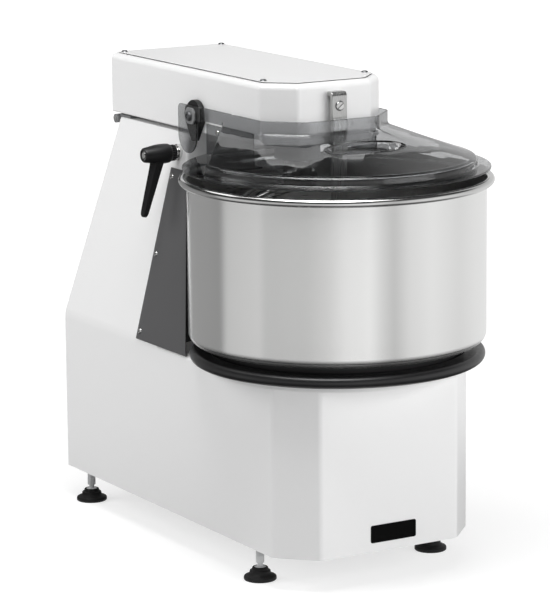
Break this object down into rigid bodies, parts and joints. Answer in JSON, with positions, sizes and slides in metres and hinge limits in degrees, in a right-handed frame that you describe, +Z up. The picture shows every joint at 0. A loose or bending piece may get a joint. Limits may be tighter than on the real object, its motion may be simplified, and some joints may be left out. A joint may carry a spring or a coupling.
{
  "type": "spiral dough mixer",
  "caption": "Free-standing dough kneader: a turning steel bowl on a cabinet base, a tilting head with a spiral hook, breaker bar and hinged see-through guard.",
  "frame": {"origin": "on the floor under the centre of the bounding box", "axes": "+Z up, front of the machine (bowl) towards -Y, +X to the machine's left as it is seen from behind, which is the viewer's right from the front"},
  "size_m": [0.4767, 0.8164, 0.7471],
  "materials": {
    "white_paint": "smooth gloss powder coat",
    "grey_paint": "satin grey coat",
    "inner_steel": "plain primer",
    "steel": "brushed",
    "polished_steel": "polished",
    "shaft_steel": "machined",
    "zinc": "zinc plated",
    "black_metal": "satin black",
    "black_plastic": "satin black",
    "rubber": "matt black",
    "badge_black": "gloss black, blank",
    "motor_grey": "cast, painted grey",
    "box_plastic": "moulded grey",
    "panel_plastic": "moulded dark grey",
    "green": "gloss green",
    "red": "gloss red",
    "smoked_clear": "clear smoked polycarbonate"
  },
  "bodies": {
    "machine": {"cabinet": "white_paint", "column_cover": "grey_paint", "column_cover_screws": "polished_steel", "bottom_plate": "white_paint", "deck_plate": "white_paint", "base_ring": "black_plastic", "bowl_housing": "inner_steel", "bowl_bearings": "shaft_steel", "gearbox_stand": "inner_steel", "gearbox": "motor_grey", "motor": "motor_grey", "electric_box": "box_plastic", "bridge_plate": "inner_steel", "upper_bearing": "inner_steel", "column_top_plate": "inner_steel", "column_hinge": "zinc", "hinge_pin": "polished_steel", "clamp_fork": "inner_steel", "foot_pads": "rubber", "foot_stems": "polished_steel", "foot_nuts": "polished_steel", "badge": "badge_black", "cable_gland": "black_plastic", "switch_panel": "panel_plastic", "lower_chain": "shaft_steel"},
    "bowl": {"bowl_shaft": "shaft_steel", "bowl_sprocket": "shaft_steel", "turntable": "black_metal", "bowl": "steel", "bowl_hub": "steel"},
    "drive": {"drive_shaft": "shaft_steel", "drive_sprocket": "shaft_steel", "lower_coupling": "shaft_steel"},
    "head": {"head_shell": "white_paint", "head_cover": "white_paint", "head_cover_screws": "polished_steel", "head_base_plate": "inner_steel", "lock_tongue": "inner_steel", "spiral_nose": "inner_steel", "spiral_bearings": "shaft_steel", "input_housing": "inner_steel", "head_chain": "shaft_steel", "breaker_bar": "steel", "breaker_bar_screw": "polished_steel", "rear_shield": "smoked_clear", "shield_screws": "polished_steel", "lid_hinge_blocks": "black_plastic"},
    "input": {"input_shaft": "shaft_steel", "input_sprocket": "shaft_steel", "upper_coupling": "shaft_steel"},
    "spiral": {"spiral_shaft": "shaft_steel", "spiral_sprocket": "shaft_steel", "spiral_hook": "polished_steel"},
    "lid": {"guard_lid": "smoked_clear", "lid_hinge_plates": "zinc", "lid_hinge_bolts": "polished_steel"},
    "lever": {"clamp_lever": "black_plastic"},
    "start": {"start_button": "green"},
    "stop": {"stop_button": "red"}
  },
  "joints": [
    {"name": "bowl_spin", "type": "hinge", "parent": "machine", "child": "bowl", "pos_m": [0, -0.1698, 0.34], "axis": [0, 0, 1], "continuous": true},
    {"name": "drive_spin", "type": "hinge", "parent": "machine", "child": "drive", "pos_m": [0, 0.2302, 0.24], "axis": [0, 0, 1], "continuous": true},
    {"name": "head_tilt", "type": "hinge", "parent": "machine", "child": "head", "pos_m": [0, 0.3352, 0.6375], "axis": [-1, 0, 0], "range_deg": [0, 50]},
    {"name": "input_spin", "type": "hinge", "parent": "head", "child": "input", "pos_m": [0, 0.2302, 0.694], "axis": [0, 0, 1], "continuous": true},
    {"name": "spiral_spin", "type": "hinge", "parent": "head", "child": "spiral", "pos_m": [0, -0.0568, 0.694], "axis": [0, 0, 1], "continuous": true},
    {"name": "lid_open", "type": "hinge", "parent": "head", "child": "lid", "pos_m": [0, 0.0632, 0.674], "axis": [-1, 0, 0], "range_deg": [0, 70]},
    {"name": "clamp_turn", "type": "hinge", "parent": "machine", "child": "lever", "pos_m": [-0.1475, 0.1162, 0.61], "axis": [1, 0, 0], "range_deg": [-90, 90]},
    {"name": "start_press", "type": "slide", "parent": "machine", "child": "start", "axis": [-0.9801, 0, -0.1984], "range_m": [0, 0.004], "stiffness_N_per_m": 400, "springref_m": -0.002},
    {"name": "stop_press", "type": "slide", "parent": "machine", "child": "stop", "axis": [-0.9801, 0, -0.1984], "range_m": [0, 0.004], "stiffness_N_per_m": 400, "springref_m": -0.002}
  ],
  "couplings": [
    {"joint": "drive_spin", "follows": "bowl_spin", "ratio": 6.4},
    {"joint": "input_spin", "follows": "bowl_spin", "ratio": 6.4},
    {"joint": "spiral_spin", "follows": "bowl_spin", "ratio": 8.4}
  ]
}
